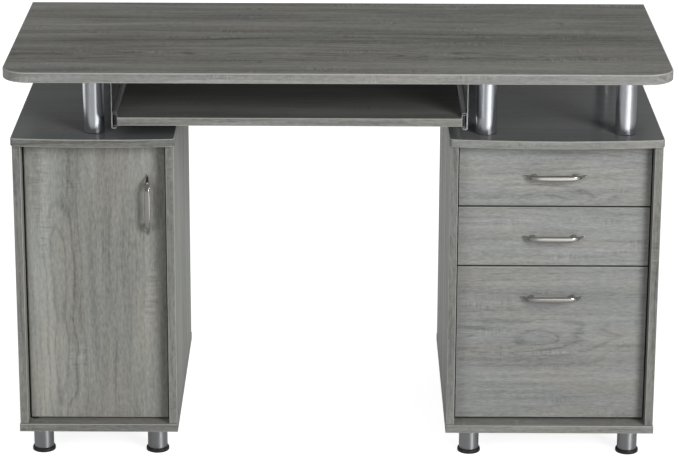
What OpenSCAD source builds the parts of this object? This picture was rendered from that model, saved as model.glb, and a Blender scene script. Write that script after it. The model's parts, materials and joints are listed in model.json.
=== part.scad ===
// Writing desk. A thin top with rounded front corners stands on six tubular posts over two
// pedestals: a cabinet with one door on the left and a unit of three drawers on the right.
// A keyboard tray hangs under the top between them. Millimetres; X runs to the right, Y to
// the back, Z up. The origin is on the floor, below the centre of the desk top.

/* [Desk top] */
// Width of the desk top
desk_w = 1200; // [1160:10:1240]
// Depth of the desk top
desk_d = 560; // [550:5:600]
// Height of the desk top above the floor
desk_h = 756; // [745:1:775]
// Thickness of the desk top
top_t = 19; // [18:1:22]
// Radius of the two front corners
top_corner_r = 50; // [20:5:80]

/* [Pedestals] */
// Thickness of the pedestals' boards
board_t = 15; // [14:0.5:16]
// Width of the cabinet on the left
cabinet_w = 292; // [280:1:300]
// Width of the drawer unit on the right
unit_w = 385; // [375:1:395]
// Depth of the side boards
side_d = 510; // [500:5:515]
// Height of each pedestal between its feet and its own top face
pedestal_h = 568; // [560:1:575]
// How far each pedestal stands in from the end of the desk top
end_inset = 11.5; // [8:0.5:20]
// How far the desk top reaches behind the side boards
rear_gap = 2; // [1:1:5]
// How far the cap boards reach past the side boards
cap_side_lip = 2; // [1:0.5:4]
// How far the cap boards' bowed front reaches past the side boards
cap_front_lip = 16; // [12:1:20]
// Radius of the cap boards' bowed front edge
cap_bow_r = 1500; // [1200:50:2500]
// Radius of the cap boards' front corners
cap_corner_r = 9; // [6:1:12]
// How far the base boards reach past the side boards at the front
base_front_lip = 3.5; // [2:0.5:5]
// How far the base boards reach past the side boards at each side
base_side_lip = 1; // [0.5:0.5:2]
// Thickness of the hardboard backs and drawer bottoms
hardboard_t = 3; // [3:0.5:4]
// How far the backs stand in from the side boards' rear edges
back_inset = 5; // [3:1:10]

/* [Door and drawer fronts] */
// How far the fronts stand behind the side boards' front edges
front_recess = 25; // [20:1:30]
// Gap between a front and the board beside it
side_gap = 2.5; // [2:0.5:3]
// Gap between two drawer fronts, and under the cap board
front_gap = 3; // [3:0.5:4]
// Gap under the door
door_floor_gap = 3.5; // [3:0.5:5]
// Gap under the lower drawer
drawer_floor_gap = 6.5; // [5:0.5:8]
// Height of the lower drawer's front
lower_front_h = 296; // [290:1:300]
// Height of the middle drawer's front
middle_front_h = 111.5; // [110:0.5:114]

/* [Drawers] */
// Depth of the drawer boxes behind their fronts
box_d = 400; // [380:10:420]
// Thickness of the drawer boxes' boards
box_t = 12; // [11:1:13]
// Room for a slide between a drawer box and the side board
slide_gap = 12.7; // [12.5:0.1:13.5]
// Length of the drawer slides
slide_l = 350; // [300:25:375]
// Height of the drawer slides
slide_h = 35; // [30:1:40]

/* [Posts and feet] */
// Diameter of the posts between pedestals and desk top
post_dia = 38; // [32:1:42]
// Distance of the posts from the side boards' front and rear edges
post_edge = 44; // [40:1:50]
// Distance of the drawer unit's posts from its sides
unit_post_inset = 66; // [60:1:75]
// Wall thickness of posts and feet
tube_wall = 1.5; // [1:0.5:2]
// Diameter of the feet
foot_dia = 37; // [34:1:40]
// Height of the feet
foot_h = 56; // [50:1:60]
// Distance of the feet from the side boards' front and rear edges
foot_edge = 52; // [45:1:60]
// Distance of the cabinet's feet from its outer and its inner side
cabinet_foot_inset = [37.5, 40.5]; // [30:0.5:50]
// Distance of the drawer unit's feet from its inner and its outer side
unit_foot_inset = [45.5, 41.5]; // [30:0.5:50]

/* [Keyboard tray] */
// Width of the keyboard tray
tray_w = 617; // [600:1:620]
// Depth of the keyboard tray
tray_d = 320; // [300:10:340]
// Thickness of the keyboard tray
tray_t = 15; // [14:0.5:16]
// Clear height between the tray and the desk top
tray_room = 68.5; // [65:0.5:72]
// How far the tray's front edge stands behind the desk top's
tray_setback = 22; // [15:1:40]
// Outside width across the two tray brackets
bracket_span = 639; // [638:1:642]
// Thickness of the sheet brackets
bracket_t = 1.3; // [1:0.1:2]
// Length of the tray slides and their brackets
tray_slide_l = 300; // [250:25:300]
// Height of the tray slides
tray_slide_h = 30; // [26:1:34]

/* [Handles] */
// Length of a handle from tip to tip
handle_l = 117; // [110:1:125]
// Distance between a handle's two screws
handle_screw_gap = 76; // [70:1:80]
// How far the crest of a handle's centre line stands off the front
handle_crest = 19; // [17:1:21]
// Largest drop from a drawer front's top edge to its handle
handle_drop = 58; // [50:1:60]
// Distance of the door's handle from the door's free edge
door_handle_edge = 32; // [28:1:40]

/* [Hidden] */
$fn = 64;
slack = 1;
steel_t = 1.2;
DRAWERS = ["upper", "middle", "lower"];
DRAWER_PIECES = ["front", "left_side", "right_side", "rear", "bottom", "handle", "slide_rails"];

// Colours
laminate = [0.52, 0.52, 0.5];
dark_laminate = [0.42, 0.42, 0.41];
hardboard = [0.45, 0.4, 0.34];
chrome = [0.8, 0.81, 0.82];
steel = [0.68, 0.69, 0.69];
zinc = [0.6, 0.61, 0.62];
nickel = [0.72, 0.71, 0.68];
black = [0.08, 0.08, 0.08];

// Heights
top_z = desk_h - top_t;
cap_top = foot_h + pedestal_h;
cap_z = cap_top - board_t;
base_top = foot_h + board_t;

// Depths
side_rear = desk_d / 2 - rear_gap;
side_front = side_rear - side_d;
cap_front = side_front - cap_front_lip;
front_y = side_front + front_recess;
front_back = front_y + board_t;
back_y = side_rear - back_inset - hardboard_t;
post_y = [side_front + post_edge, side_rear - post_edge];
foot_y = [side_front + foot_edge, side_rear - foot_edge];

// Widths: the two X values of each pedestal are the outside faces of its side boards
cabinet_x = [end_inset - desk_w / 2, end_inset - desk_w / 2 + cabinet_w];
unit_x = [desk_w / 2 - end_inset - unit_w, desk_w / 2 - end_inset];
cabinet_mid = (cabinet_x[0] + cabinet_x[1]) / 2;
unit_mid = (unit_x[0] + unit_x[1]) / 2;
unit_post_x = [unit_x[0] + unit_post_inset, unit_x[1] - unit_post_inset];
tray_mid = (cabinet_mid + unit_post_x[0]) / 2;

// Posts as [x, y], the cabinet's first
posts = [
    for (y = post_y) [cabinet_mid, y],
    for (y = post_y) for (x = unit_post_x) [x, y]
];
foot_x = [
    cabinet_x[0] + cabinet_foot_inset[0],
    cabinet_x[1] - cabinet_foot_inset[1],
    unit_x[0] + unit_foot_inset[0],
    unit_x[1] - unit_foot_inset[1]
];

// Drawer fronts as [lowest Z, highest Z], from the upper drawer down
lower_z = base_top + drawer_floor_gap;
middle_z = lower_z + lower_front_h + front_gap;
upper_z = middle_z + middle_front_h + front_gap;
front_top = cap_z - front_gap - 0.5;
front_z = [[upper_z, front_top], [middle_z, middle_z + middle_front_h], [lower_z, lower_z + lower_front_h]];
front_x = [unit_x[0] + board_t + side_gap, unit_x[1] - board_t - side_gap];

// Drawer boxes: their heights, and how far they start above their fronts' lower edges
box_h = [80, 80, 230];
box_lift = 16;
box_x = [unit_x[0] + board_t + slide_gap, unit_x[1] - board_t - slide_gap];
box_back = front_back + box_d;
bottom_lift = 8;
slide_lift = 22;
slide_start = front_back + 4;
rail_clearance = 2.4;

// Door
door_x = [cabinet_x[0] + board_t + side_gap, cabinet_x[1] - board_t - side_gap];
door_z = [base_top + door_floor_gap, front_top];
door_edge_r = 4;
pivot = [door_x[0] + board_t / 2, front_y + board_t / 2];
pin_r = 2.5;
pin_play = 0.06;
bush_r = 4;
bush_flange_r = 7;
bush_flange_t = 2;
bush_depth = 10;
pin_depth = 9;
pin_grip = 12;

// Cabinet shelf
shelf_z = 340;
shelf_front = front_back + 8;
shelf_pin_r = 2.5;
shelf_pin_depth = 8;
shelf_pin_reach = 9;
shelf_pin_y = [shelf_front + 40, back_y - 45];

// Joining hardware
cam_r = 7.5;
cam_depth = 12;
cam_end = 34;
cam_y = [side_front + 60, side_rear - 60];
bolt_r = 3;
bolt_head_r = 6;
bolt_head_h = 2.4;
bolt_bite = 12;
bolt_play = 0.3;
screw_r = 2;
screw_head_r = 4;
screw_head_h = 2.2;
screw_bite = 12;

// Keyboard tray and its hangers
tray_z = top_z - tray_room - tray_t;
tray_front = tray_setback - desk_d / 2;
tray_slide_y = tray_front + 8;
tray_slide_z = tray_z + tray_t / 2 - tray_slide_h / 2 + 1;
bracket_low = tray_slide_z - bracket_t;
bracket_flange = 20;
bracket_screw_y = [for (f = [0.12, 0.5, 0.88]) tray_slide_y + f * tray_slide_l];
bracket_screw_x = bracket_span / 2 - 11;
tray_slide_gap = (bracket_span - tray_w) / 2 - bracket_t;

// A board given by its lowest corner and its size
module board(corner, size) {
    translate(corner) cube(size);
}

// Outline of a cap board: straight sides and back, a bowed front with rounded corners
module cap_outline(w) {
    corner_x = w / 2 - cap_corner_r;
    bow_y = cap_front + cap_bow_r;
    corner_y = bow_y - sqrt(pow(cap_bow_r - cap_corner_r, 2) - pow(corner_x, 2));
    meet_x = corner_x * cap_bow_r / (cap_bow_r - cap_corner_r);
    translate([-w / 2, corner_y]) square([w, side_rear - corner_y]);
    for (s = [-1, 1]) translate([s * corner_x, corner_y]) circle(cap_corner_r);
    intersection() {
        translate([-meet_x, cap_front - slack]) square([2 * meet_x, corner_y - cap_front + 2 * slack]);
        translate([0, bow_y]) circle(cap_bow_r, $fn = 360);
    }
}

// Cap board over one pedestal, drilled for the bolts of the posts above it
module cap(x, bolt_x) {
    color(dark_laminate)
    difference() {
        translate([(x[0] + x[1]) / 2, 0, cap_z])
        linear_extrude(board_t)
        cap_outline(x[1] - x[0] + 2 * cap_side_lip);
        for (bx = bolt_x, by = post_y)
            translate([bx, by, cap_z - slack]) cylinder(r = bolt_r + bolt_play, h = board_t + 2 * slack);
    }
}

// Base board under one pedestal
module base(x) {
    board(
        [x[0] - base_side_lip, side_front - base_front_lip, foot_h],
        [x[1] - x[0] + 2 * base_side_lip, side_d + base_front_lip, board_t]
    );
}

// Places its children at the four cams of the side board whose inner face is at inner_x;
// they point into the board, along inward = 1 for +X or -1 for -X
module at_cams(inner_x, inward) {
    for (y = cam_y, z = [base_top + cam_end, cap_z - cam_end])
        translate([inner_x, y, z]) rotate([0, inward * 90, 0]) children();
}

// Side board from its outside face at x; inward = 1 where the pedestal lies towards +X
module side_board(x, inward) {
    inner_x = x + inward * board_t;
    difference() {
        board([min(x, inner_x), side_front, base_top], [board_t, side_d, cap_z - base_top]);
        at_cams(inner_x, -inward) translate([0, 0, -slack]) cylinder(r = cam_r, h = cam_depth + slack);
    }
}

// Places its children at the shelf pins of one cabinet side, pointing along inward
module at_shelf_pins(x, inward) {
    for (y = shelf_pin_y)
        translate([x + inward * (board_t - shelf_pin_depth), y, shelf_z - shelf_pin_r])
        rotate([0, inward * 90, 0])
        children();
}

// Hardboard back between the two side boards
module pedestal_back(x) {
    color(hardboard)
    board(
        [x[0] + board_t, back_y, base_top],
        [x[1] - x[0] - 2 * board_t, hardboard_t, cap_z - base_top]
    );
}

// C-shaped steel channel along +Y, its web at X = 0 and its mouth towards +X
module channel(l, h, depth) {
    difference() {
        cube([depth, l, h]);
        translate([steel_t, -slack, steel_t]) cube([depth, l + 2 * slack, h - 2 * steel_t]);
    }
}

// Rail that runs inside such a channel: a smaller channel facing it from X = gap
module rail(l, h, gap) {
    rail_h = h - 2 * steel_t - 2 * rail_clearance;
    translate([gap, 0, (h - rail_h) / 2])
    mirror([1, 0, 0])
    channel(l, rail_h, gap - steel_t - rail_clearance / 2);
}

// A bow handle lies along X, its feet on the plane Y = 0, its crest towards -Y. Its middle is
// nearly straight, and its ends drop to pointed tips close to that plane.
// The stations run from -1 at one tip to 1 at the other.
function half_width(u) = 0.4 + 4.9 * pow(1 - pow(abs(u), 2.6), 0.8);
function half_thick(u) = 1.1 + 1.5 * (1 - u * u);
function stand_off(u) =
    2.2 + (handle_crest - 2.2) * (0.5 + 0.5 * cos(180 * pow(min(1, abs(u) / 0.95), 4.5)));
function on_foot(u) = abs(abs(u) * handle_l - handle_screw_gap) < 9;
// A circle's sine or cosine, pushed out to a square with round corners
function squared(v) = sign(v) * sqrt(abs(v));
function station(u, sides) = [
    for (k = [0 : sides - 1])
        let (a = 360 * k / sides, y = -stand_off(u) - half_thick(u) * squared(cos(a)))
        [u * handle_l / 2, on_foot(u) && cos(a) < -0.1 ? 0 : y, half_width(u) * squared(sin(a))]
];
module handle_bow() {
    sides = 12;
    steps = 56;
    rings = [for (i = [0 : steps]) station(-1 + 2 * i / steps, sides)];
    points = [for (r = rings) each r];
    walls = [
        for (i = [0 : steps - 1]) for (k = [0 : sides - 1])
            let (a = i * sides + k, b = i * sides + (k + 1) % sides)
            [a, b, b + sides, a + sides]
    ];
    first = [for (k = [sides - 1 : -1 : 0]) k];
    last = [for (k = [0 : sides - 1]) steps * sides + k];
    polyhedron(points, concat([first], walls, [last]), convexity = 6);
}

// Places its children at a handle's two screws, on the front's face and pointing to the back
module at_handle_screws() {
    for (s = [-1, 1])
        translate([s * handle_screw_gap / 2, 0, 0]) rotate([-90, 0, 0]) children();
}

// Bow handle with the two screws that hold it from inside the front
module handle() {
    color(nickel) handle_bow();
    color(steel)
    at_handle_screws() {
        cylinder(r = screw_r, h = board_t);
        translate([0, 0, board_t]) cylinder(r = screw_head_r, h = screw_head_h);
    }
}

module at_drawer_handle(i) {
    z = front_z[i][1] - min(handle_drop, (front_z[i][1] - front_z[i][0]) / 2);
    translate([unit_mid, front_y, z]) children();
}

module at_door_handle() {
    translate([door_x[1] - door_handle_edge, front_y, front_z[1][1] + front_gap])
    rotate([0, 90, 0])
    children();
}

module desktop() {
    color(laminate)
    difference() {
        union() {
            board([-desk_w / 2, top_corner_r - desk_d / 2, top_z], [desk_w, desk_d - top_corner_r, top_t]);
            board(
                [top_corner_r - desk_w / 2, -desk_d / 2, top_z],
                [desk_w - 2 * top_corner_r, 2 * top_corner_r, top_t]
            );
            for (s = [-1, 1])
                translate([s * (desk_w / 2 - top_corner_r), top_corner_r - desk_d / 2, top_z])
                cylinder(r = top_corner_r, h = top_t);
        }
        for (p = posts) translate([p[0], p[1], top_z - slack]) cylinder(r = bolt_r, h = bolt_bite + slack);
        at_bracket_screws() translate([0, 0, -slack]) cylinder(r = screw_r, h = screw_bite + slack);
    }
}

// Tubular post, standing on a cap board and carrying the desk top
module post(i) {
    color(chrome)
    translate([posts[i][0], posts[i][1], cap_top])
    difference() {
        cylinder(d = post_dia, h = top_z - cap_top);
        translate([0, 0, -slack]) cylinder(d = post_dia - 2 * tube_wall, h = top_z - cap_top + 2 * slack);
    }
}

// Long bolts that clamp the cap boards, the posts and the desk top together
module post_bolts() {
    color(steel)
    for (p = posts)
        translate([p[0], p[1], cap_z - bolt_head_h]) {
            cylinder(r = bolt_head_r, h = bolt_head_h);
            cylinder(r = bolt_r, h = bolt_head_h + top_z - cap_z + bolt_bite);
        }
}

module at_feet() {
    for (x = foot_x, y = foot_y) translate([x, y, 0]) children();
}

// Foot tube with a closed upper end
module feet() {
    tube_z = 5;
    color(steel)
    at_feet()
    difference() {
        translate([0, 0, tube_z]) cylinder(d = foot_dia, h = foot_h - tube_z);
        translate([0, 0, tube_z - slack])
        cylinder(d = foot_dia - 2 * tube_wall, h = foot_h - tube_z - tube_wall + slack);
    }
}

// Plastic glide: a plug inside the tube and a flared cup around its lower end
module foot_glides() {
    tube_r = foot_dia / 2;
    rim_r = tube_r + 3;
    plug_r = tube_r - tube_wall;
    color(black)
    at_feet()
    rotate_extrude()
    polygon([
        [0, 0], [rim_r - 1.5, 0], [rim_r, 1.5], [rim_r, 5], [rim_r - 0.7, 6.8], [tube_r + 0.8, 8],
        [tube_r, 8], [tube_r, 5], [plug_r, 5], [plug_r, 16], [0, 16]
    ]);
}

module cabinet_cap() cap(cabinet_x, [cabinet_mid]);
module unit_cap() cap(unit_x, unit_post_x);

// The cabinet's cap and base boards take the door's pivot bushes
module bush_hole(z) {
    translate([pivot[0], pivot[1], z]) cylinder(r = bush_r, h = bush_depth + slack);
}

module drilled_cabinet_cap() {
    difference() {
        cabinet_cap();
        bush_hole(cap_z - slack);
    }
}

module cabinet_base() {
    color(laminate)
    difference() {
        base(cabinet_x);
        bush_hole(base_top - bush_depth);
    }
}

module unit_base() color(laminate) base(unit_x);

module cabinet_side(i) {
    inward = i == 0 ? 1 : -1;
    color(laminate)
    difference() {
        side_board(cabinet_x[i], inward);
        at_shelf_pins(cabinet_x[i], inward) cylinder(r = shelf_pin_r, h = shelf_pin_depth + slack);
    }
}

module unit_side(i) color(laminate) side_board(unit_x[i], i == 0 ? 1 : -1);

module cam_locks() {
    color(zinc)
    for (x = [cabinet_x, unit_x], i = [0, 1]) {
        inward = i == 0 ? 1 : -1;
        at_cams(x[i] + inward * board_t, -inward) cylinder(r = cam_r, h = cam_depth);
    }
}

module cabinet_shelf() {
    color(laminate)
    board(
        [cabinet_x[0] + board_t + slack, shelf_front, shelf_z],
        [cabinet_w - 2 * board_t - 2 * slack, back_y - shelf_front - slack, board_t]
    );
}

module shelf_pins() {
    color(steel)
    for (i = [0, 1])
        at_shelf_pins(cabinet_x[i], i == 0 ? 1 : -1)
        cylinder(r = shelf_pin_r, h = shelf_pin_depth + shelf_pin_reach);
}

// The hinge edge is rounded so that the door can turn inside its opening
module door() {
    color(laminate)
    difference() {
        translate([0, 0, door_z[0]])
        linear_extrude(door_z[1] - door_z[0])
        union() {
            translate([door_x[0] + door_edge_r, front_y])
            square([door_x[1] - door_x[0] - door_edge_r, board_t]);
            translate([door_x[0], front_y + door_edge_r]) square([board_t, board_t - 2 * door_edge_r]);
            for (y = [front_y + door_edge_r, front_back - door_edge_r])
                translate([door_x[0] + door_edge_r, y]) circle(door_edge_r);
        }
        for (z = [door_z[0] - slack, door_z[1] - pin_grip])
            translate([pivot[0], pivot[1], z]) cylinder(r = pin_r, h = pin_grip + slack);
        at_door_handle() at_handle_screws() cylinder(r = screw_r, h = board_t + slack);
    }
}

module door_handle() at_door_handle() handle();

module door_pivot_pins() {
    low = base_top - pin_depth;
    high = cap_z + pin_depth;
    color(steel) {
        translate([pivot[0], pivot[1], low]) cylinder(r = pin_r, h = door_z[0] + pin_grip - low);
        translate([pivot[0], pivot[1], door_z[1] - pin_grip])
        cylinder(r = pin_r, h = high - door_z[1] + pin_grip);
    }
}

// One flanged bush at Z = 0, its flange upwards
module pivot_bush() {
    difference() {
        union() {
            translate([0, 0, -bush_depth]) cylinder(r = bush_r, h = bush_depth + bush_flange_t);
            cylinder(r = bush_flange_r, h = bush_flange_t);
        }
        translate([0, 0, -pin_depth - 0.5])
        cylinder(r = pin_r + pin_play, h = pin_depth + bush_flange_t + 0.5 + slack);
    }
}

module door_pivot_bushes() {
    color(black) {
        translate([pivot[0], pivot[1], base_top]) pivot_bush();
        translate([pivot[0], pivot[1], cap_z]) mirror([0, 0, 1]) pivot_bush();
    }
}

// Magnetic catch under the cap board, and the steel plate that it holds
catch_w = 46;
catch_x = door_x[1] - 75;
strike_t = 1.2;
module door_catch() {
    color(black) board([catch_x, front_back + strike_t + 0.5, cap_z - 14], [catch_w, 15, 14]);
}

module door_strike_plate() {
    color(steel)
    board([catch_x + 4, front_back, cap_z - 20], [catch_w - 8, strike_t, 14]);
}

module drawer_front(i) {
    color(laminate)
    difference() {
        board(
            [front_x[0], front_y, front_z[i][0]],
            [front_x[1] - front_x[0], board_t, front_z[i][1] - front_z[i][0]]
        );
        at_drawer_handle(i) at_handle_screws() cylinder(r = screw_r, h = board_t + slack);
    }
}

function box_z(i) = front_z[i][0] + box_lift;

module drawer_side(i, s) {
    x = s == 0 ? box_x[0] : box_x[1] - box_t;
    color(dark_laminate) board([x, front_back, box_z(i)], [box_t, box_d, box_h[i]]);
}

module drawer_rear(i) {
    color(dark_laminate)
    board(
        [box_x[0] + box_t, box_back - box_t, box_z(i)],
        [box_x[1] - box_x[0] - 2 * box_t, box_t, box_h[i]]
    );
}

module drawer_bottom(i) {
    color(hardboard)
    board(
        [box_x[0] + box_t, front_back, box_z(i) + bottom_lift],
        [box_x[1] - box_x[0] - 2 * box_t, box_d - box_t, hardboard_t]
    );
}

module drawer_handle(i) at_drawer_handle(i) handle();

// Places its children on the left wall at X = 0 and mirrored on the right wall
module on_both_walls(left_x, right_x) {
    translate([left_x, 0, 0]) children();
    translate([right_x, 0, 0]) mirror([1, 0, 0]) children();
}

module drawer_slide_rails(i) {
    color(zinc)
    on_both_walls(unit_x[0] + board_t, unit_x[1] - board_t)
    translate([0, slide_start, box_z(i) + slide_lift])
    rail(slide_l, slide_h, slide_gap);
}

module unit_slide_channels() {
    color(zinc)
    for (i = [0 : len(DRAWERS) - 1])
        on_both_walls(unit_x[0] + board_t, unit_x[1] - board_t)
        translate([0, slide_start, box_z(i) + slide_lift])
        channel(slide_l, slide_h, slide_gap - steel_t);
}

// Two steel strips on top of the lower drawer's sides, for hanging files
module file_rails() {
    strip_t = 2;
    strip_h = 12;
    color(steel)
    on_both_walls(box_x[0] + (box_t - strip_t) / 2, box_x[1] - (box_t - strip_t) / 2)
    board([0, front_back + 2, box_z(2) + box_h[2]], [strip_t, box_d - 4, strip_h]);
}

module keyboard_tray() {
    color(dark_laminate) board([tray_mid - tray_w / 2, tray_front, tray_z], [tray_w, tray_d, tray_t]);
}

// Places its children in the frame of the left bracket, whose outside face is at X = 0 and
// which faces +X, and mirrored for the right one
module at_bracket(s) {
    translate([tray_mid + s * bracket_span / 2, 0, 0])
    mirror([s > 0 ? 1 : 0, 0, 0])
    children();
}

module at_bracket_screws() {
    for (s = [-1, 1], y = bracket_screw_y) translate([tray_mid + s * bracket_screw_x, y, top_z]) children();
}

// Sheet bracket: a plate with a flange under the desk top and a lip under the channel
module tray_bracket(s) {
    color(zinc)
    difference() {
        at_bracket(s) {
            board([0, tray_slide_y, bracket_low], [bracket_t, tray_slide_l, top_z - bracket_low]);
            board([0, tray_slide_y, top_z - bracket_t], [bracket_flange, tray_slide_l, bracket_t]);
            board([0, tray_slide_y, bracket_low], [8, tray_slide_l, bracket_t]);
        }
        at_bracket_screws()
        translate([0, 0, -bracket_t - slack])
        cylinder(r = screw_r + 0.1, h = bracket_t + 2 * slack);
    }
}

module tray_channel(s) {
    color(zinc)
    at_bracket(s)
    translate([bracket_t, tray_slide_y, tray_slide_z])
    channel(tray_slide_l, tray_slide_h, tray_slide_gap - steel_t);
}

module tray_rails() {
    color(zinc)
    for (s = [-1, 1])
        at_bracket(s)
        translate([bracket_t, tray_slide_y, tray_slide_z])
        rail(tray_slide_l, tray_slide_h, tray_slide_gap);
}

module bracket_screws() {
    color(steel)
    at_bracket_screws() {
        translate([0, 0, -bracket_t]) cylinder(r = screw_r, h = bracket_t + screw_bite);
        translate([0, 0, -bracket_t - screw_head_h]) cylinder(r = screw_head_r, h = screw_head_h);
    }
}

desktop();
keyboard_tray();
tray_bracket(-1);  // left_tray_bracket
tray_bracket(1);  // right_tray_bracket
tray_channel(-1);  // left_tray_channel
tray_channel(1);  // right_tray_channel
tray_rails();
bracket_screws();
post(0);  // cabinet_front_post
post(1);  // cabinet_rear_post
post(2);  // unit_front_left_post
post(3);  // unit_front_right_post
post(4);  // unit_rear_left_post
post(5);  // unit_rear_right_post
post_bolts();
feet();
foot_glides();
drilled_cabinet_cap();  // cabinet_cap
cabinet_base();
cabinet_side(0);  // cabinet_left_side
cabinet_side(1);  // cabinet_right_side
pedestal_back(cabinet_x);  // cabinet_back
cabinet_shelf();
shelf_pins();
door();
door_handle();
door_pivot_pins();
door_pivot_bushes();
door_catch();
door_strike_plate();
unit_cap();
unit_base();
unit_side(0);  // unit_left_side
unit_side(1);  // unit_right_side
pedestal_back(unit_x);  // unit_back
unit_slide_channels();
cam_locks();
file_rails();
for (i = [0 : len(DRAWERS) - 1]) {
    drawer = str(DRAWERS[i], "_drawer_");
    drawer_front(i);
    drawer_side(i, 0);
    drawer_side(i, 1);
    drawer_rear(i);
    drawer_bottom(i);
    drawer_handle(i);
    drawer_slide_rails(i);
}
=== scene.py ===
"""Looks of a grey writing desk with a door cabinet, three drawers and a keyboard tray.

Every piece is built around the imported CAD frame, in metres: X right, Y to the back, Z up.
"""
import json
import math

import bmesh
import bpy
from mathutils import Matrix, Vector

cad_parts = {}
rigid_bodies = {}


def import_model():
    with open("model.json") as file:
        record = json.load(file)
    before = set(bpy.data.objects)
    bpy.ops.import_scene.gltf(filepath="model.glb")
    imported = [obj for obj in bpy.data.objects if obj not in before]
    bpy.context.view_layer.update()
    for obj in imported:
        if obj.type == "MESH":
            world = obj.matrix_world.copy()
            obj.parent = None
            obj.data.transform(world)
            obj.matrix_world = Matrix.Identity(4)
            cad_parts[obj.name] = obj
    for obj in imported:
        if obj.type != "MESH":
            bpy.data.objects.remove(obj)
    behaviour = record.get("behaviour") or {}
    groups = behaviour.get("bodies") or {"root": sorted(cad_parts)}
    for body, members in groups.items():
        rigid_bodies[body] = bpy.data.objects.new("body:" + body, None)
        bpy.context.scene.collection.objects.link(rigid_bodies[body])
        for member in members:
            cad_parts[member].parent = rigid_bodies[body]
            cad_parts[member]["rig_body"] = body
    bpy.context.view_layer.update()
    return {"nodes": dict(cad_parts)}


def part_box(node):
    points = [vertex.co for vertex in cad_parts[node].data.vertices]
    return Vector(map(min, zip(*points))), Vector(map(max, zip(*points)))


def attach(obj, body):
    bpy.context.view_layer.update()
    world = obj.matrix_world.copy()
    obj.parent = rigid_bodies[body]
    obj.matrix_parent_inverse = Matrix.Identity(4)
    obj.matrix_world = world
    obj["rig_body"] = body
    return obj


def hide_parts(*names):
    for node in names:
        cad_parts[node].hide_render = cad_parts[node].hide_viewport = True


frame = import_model()

DRAWERS = ("upper_drawer", "middle_drawer", "lower_drawer")

# Base colours of the boards' faces and edge bands. The top band is lighter than the edge band, as painted
# light on the desk top's lit front edge. The front band is far darker, as painted shade in the gaps round
# the door and drawer fronts.
LAMINATE = (0.155, 0.156, 0.146)
EDGE_BAND = (0.138, 0.139, 0.13)
# Lighter copy of the edge band, for the desk top's edges: painted light on its front edge.
PAINTED_LIGHT_TOP_BAND = (0.18, 0.181, 0.172)
# Much darker copy of the edge band, for the edges of the door and drawer fronts: painted shade in the gaps
# between them.
PAINTED_SHADE_FRONT_BAND = (0.088, 0.089, 0.083)
DRAWER_FOIL = (0.125, 0.125, 0.12)

# Material indices of a board. The three edge bands are those with grain along X, Y and Z.
FACE, FIRST_EDGE, RIM = 0, 1, 4

# Sizes in metres that several functions share.
BASE_RIM = 0.0012
THIN_RIM = 0.0004
TUBE_WALL = 0.0015
FOOT_RADIUS = 0.0185
HANDLE_LENGTH = 0.117
HANDLE_SCREW_GAP = 0.076
SHEET = 0.0012

# Growth ring centres, as ring_lines takes them: of a plain board, and of the drawer fronts from
# the top drawer down.
FAR_HEART = (0.1, 0.1, 0.075, 0.075)
DRAWER_HEARTS = ((0.36, 0.3, 0.17, 0), (0.2, 0.14, 0.12, 0.12), (0.4, 0.03, 0.17, 0))

# How a shape built upwards is turned to point along each axis.
TURNS = {
    "X": Matrix.Rotation(math.pi / 2, 4, "Y"),
    "-X": Matrix.Rotation(-math.pi / 2, 4, "Y"),
    "Y": Matrix.Rotation(-math.pi / 2, 4, "X"),
    "Z": Matrix.Identity(4),
    "-Z": Matrix.Rotation(math.pi, 4, "X"),
}


# ---------------------------------------------------------------- shader nodes


def toned(base, tint):
    """A colour times a tint."""
    return tuple(c * t for c, t in zip(base, tint))


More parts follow.
